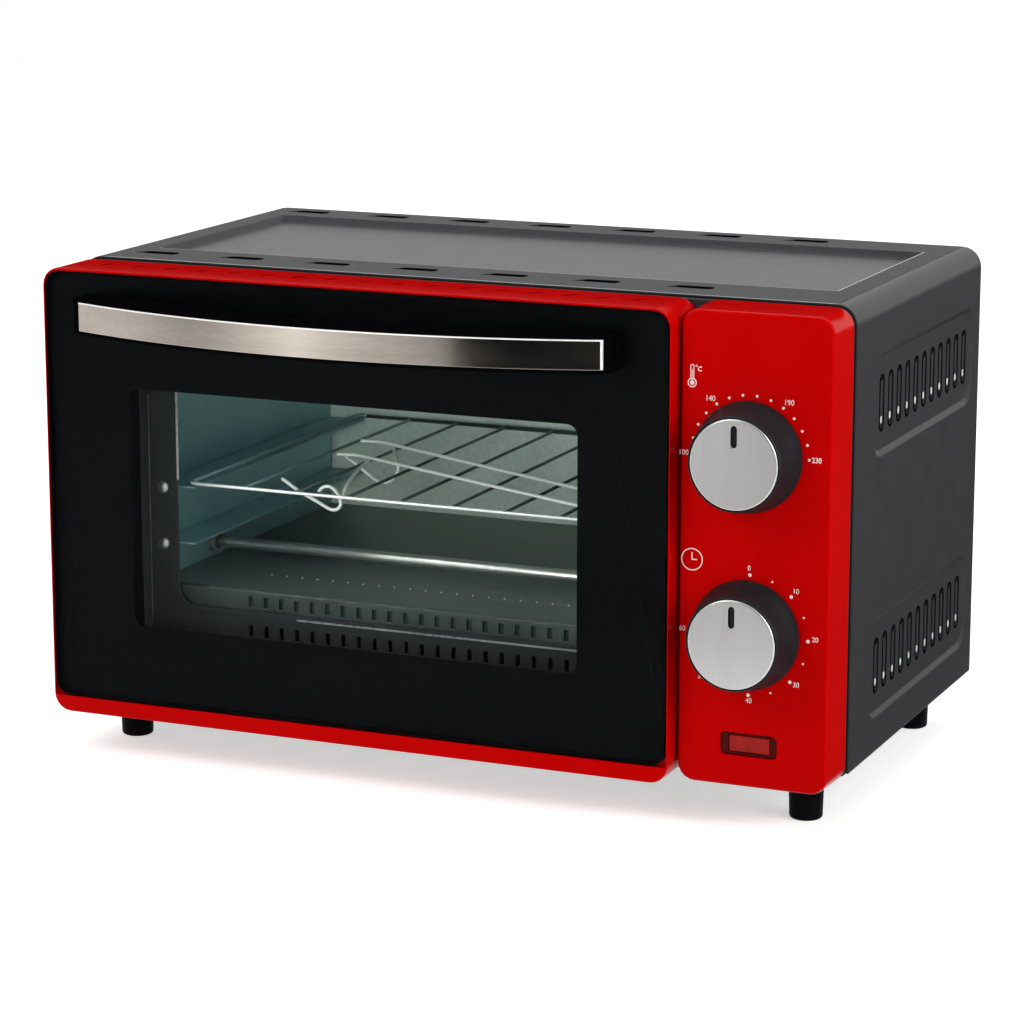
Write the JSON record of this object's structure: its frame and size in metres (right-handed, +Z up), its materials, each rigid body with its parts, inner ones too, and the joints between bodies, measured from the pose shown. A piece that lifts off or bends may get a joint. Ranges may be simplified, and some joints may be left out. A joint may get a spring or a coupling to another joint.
{
  "type": "mini oven",
  "caption": "Countertop mini oven with drop-down glass door, arched handle, two round knobs, wire rack and rack tongs.",
  "frame": {"origin": "centre of the bounding box's base, on the table under the oven", "axes": "+X to the right seen from the front, the door and knobs face -Y, +Z up"},
  "size_m": [0.365, 0.26, 0.2225],
  "materials": {
    "grey_paint": "satin dark grey",
    "black_paint": "satin black",
    "chamber_steel": "dull sheet steel",
    "bright_steel": "bright plated",
    "brushed_steel": "fine brushed",
    "red_gloss": "gloss red",
    "black_plastic": "satin black",
    "door_glass": "black printed border, clear window",
    "red_lens": "ribbed translucent red",
    "heater_metal": "dull tube",
    "ceramic": "unglazed white",
    "rubber": "matt black"
  },
  "bodies": {
    "cabinet": {"outer_casing": "grey_paint", "base_tray": "grey_paint", "back_panel": "grey_paint", "front_fascia": "black_paint", "chamber_ceiling": "chamber_steel", "chamber_floor": "chamber_steel", "chamber_back": "chamber_steel", "chamber_left_wall": "chamber_steel", "chamber_right_wall": "chamber_steel", "left_runner": "chamber_steel", "right_runner": "chamber_steel", "runner_rivet_1": "bright_steel", "runner_rivet_2": "bright_steel", "runner_rivet_3": "bright_steel", "runner_rivet_4": "bright_steel", "lower_heater": "heater_metal", "upper_heater": "heater_metal", "lower_heater_left_cap": "ceramic", "lower_heater_right_cap": "ceramic", "upper_heater_left_cap": "ceramic", "upper_heater_right_cap": "ceramic", "foot_front_left": "rubber", "foot_front_right": "rubber", "foot_rear_left": "rubber", "foot_rear_right": "rubber", "cord_bushing": "rubber", "control_panel": "red_gloss", "lamp_bezel": "black_plastic", "lamp_lens": "red_lens", "indicator_lamp": "black_plastic", "thermostat_unit": "bright_steel", "timer_unit": "bright_steel", "hinge_bracket_left": "bright_steel", "hinge_bracket_right": "bright_steel"},
    "door": {"door_frame": "red_gloss", "door_glass": "door_glass", "door_liner": "black_paint", "handle_bar": "black_plastic", "handle_strip": "brushed_steel", "handle_screw_left": "bright_steel", "handle_screw_right": "bright_steel", "hinge_pin_left": "bright_steel", "hinge_pin_right": "bright_steel", "hinge_spring_left": "bright_steel", "hinge_spring_right": "bright_steel"},
    "thermostat_dial": {"thermostat_knob": "black_plastic", "thermostat_knob_disc": "brushed_steel", "thermostat_shaft": "bright_steel"},
    "timer_dial": {"timer_knob": "black_plastic", "timer_knob_disc": "brushed_steel", "timer_shaft": "bright_steel"},
    "rack": {"wire_rack": "bright_steel"},
    "tongs": {"rack_tongs": "bright_steel"}
  },
  "joints": [
    {"name": "door_hinge", "type": "hinge", "parent": "cabinet", "child": "door", "pos_m": [-0.03405, -0.0732, 0.0265], "axis": [1, 0, 0], "range_deg": [0, 78], "stiffness_Nm_per_rad": 0.1, "springref_deg": -91.67},
    {"name": "thermostat_turn", "type": "hinge", "parent": "cabinet", "child": "thermostat_dial", "pos_m": [0.146, -0.0886, 0.1616], "axis": [0, -1, 0], "range_deg": [-93.4, 86]},
    {"name": "timer_turn", "type": "hinge", "parent": "cabinet", "child": "timer_dial", "pos_m": [0.146, -0.0886, 0.0862], "axis": [0, -1, 0], "range_deg": [-270, 0]},
    {"name": "rack_slide", "type": "slide", "parent": "cabinet", "child": "rack", "axis": [0, -1, 0], "range_m": [0, 0.11]},
    {"name": "tongs_lift", "type": "slide", "parent": "rack", "child": "tongs", "axis": [0, 0, 1], "range_m": [0, 0.035]}
  ],
  "couplings": [
    {"joint": "rack_slide", "follows": "door_hinge", "m_per_rad": 0.08}
  ]
}
